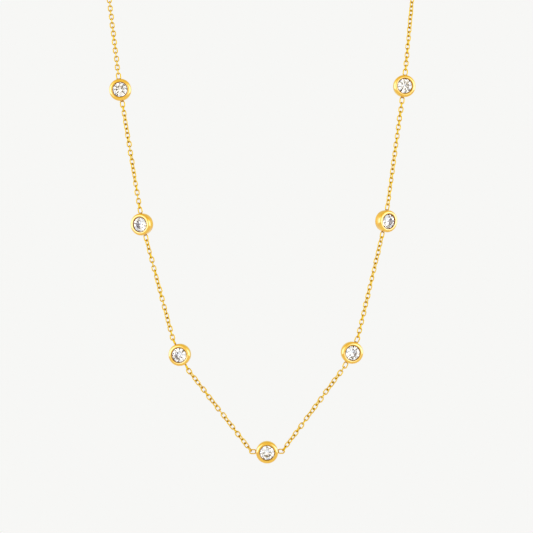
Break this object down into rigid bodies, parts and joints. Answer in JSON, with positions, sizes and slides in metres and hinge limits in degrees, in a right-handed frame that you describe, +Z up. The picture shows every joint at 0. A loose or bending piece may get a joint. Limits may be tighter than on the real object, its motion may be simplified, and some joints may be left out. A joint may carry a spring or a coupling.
{
  "type": "station necklace",
  "caption": "Fine cable chain necklace with round brilliant stones in rimmed cup settings spaced along its front, worn as a closed loop round the neck.",
  "frame": {"origin": "at the nape, in the middle of the clasp's ring, where the necklace hangs on the back of a neck", "axes": "+Z up, -Y the way the stones face, +X to the right of a viewer of the stones"},
  "size_m": [0.0767, 0.0741, 0.1495],
  "materials": {
    "gold": "polished gold colour",
    "chain_gold": "polished gold colour",
    "stone": "clear and faceted"
  },
  "bodies": {
    "root": {"setting_front": "gold", "setting_left_1": "gold", "setting_left_2": "gold", "setting_left_3": "gold", "setting_right_1": "gold", "setting_right_2": "gold", "setting_right_3": "gold", "stone_front": "stone", "stone_left_1": "stone", "stone_left_2": "stone", "stone_left_3": "stone", "stone_right_1": "stone", "stone_right_2": "stone", "stone_right_3": "stone", "chain_left_1": "chain_gold", "chain_left_2": "chain_gold", "chain_left_3": "chain_gold", "chain_left_top": "chain_gold", "chain_left_back": "chain_gold", "chain_right_1": "chain_gold", "chain_right_2": "chain_gold", "chain_right_3": "chain_gold", "chain_right_top": "chain_gold", "chain_right_back": "chain_gold", "clasp": "gold", "catch_ring": "gold"}
  },
  "joints": []
}
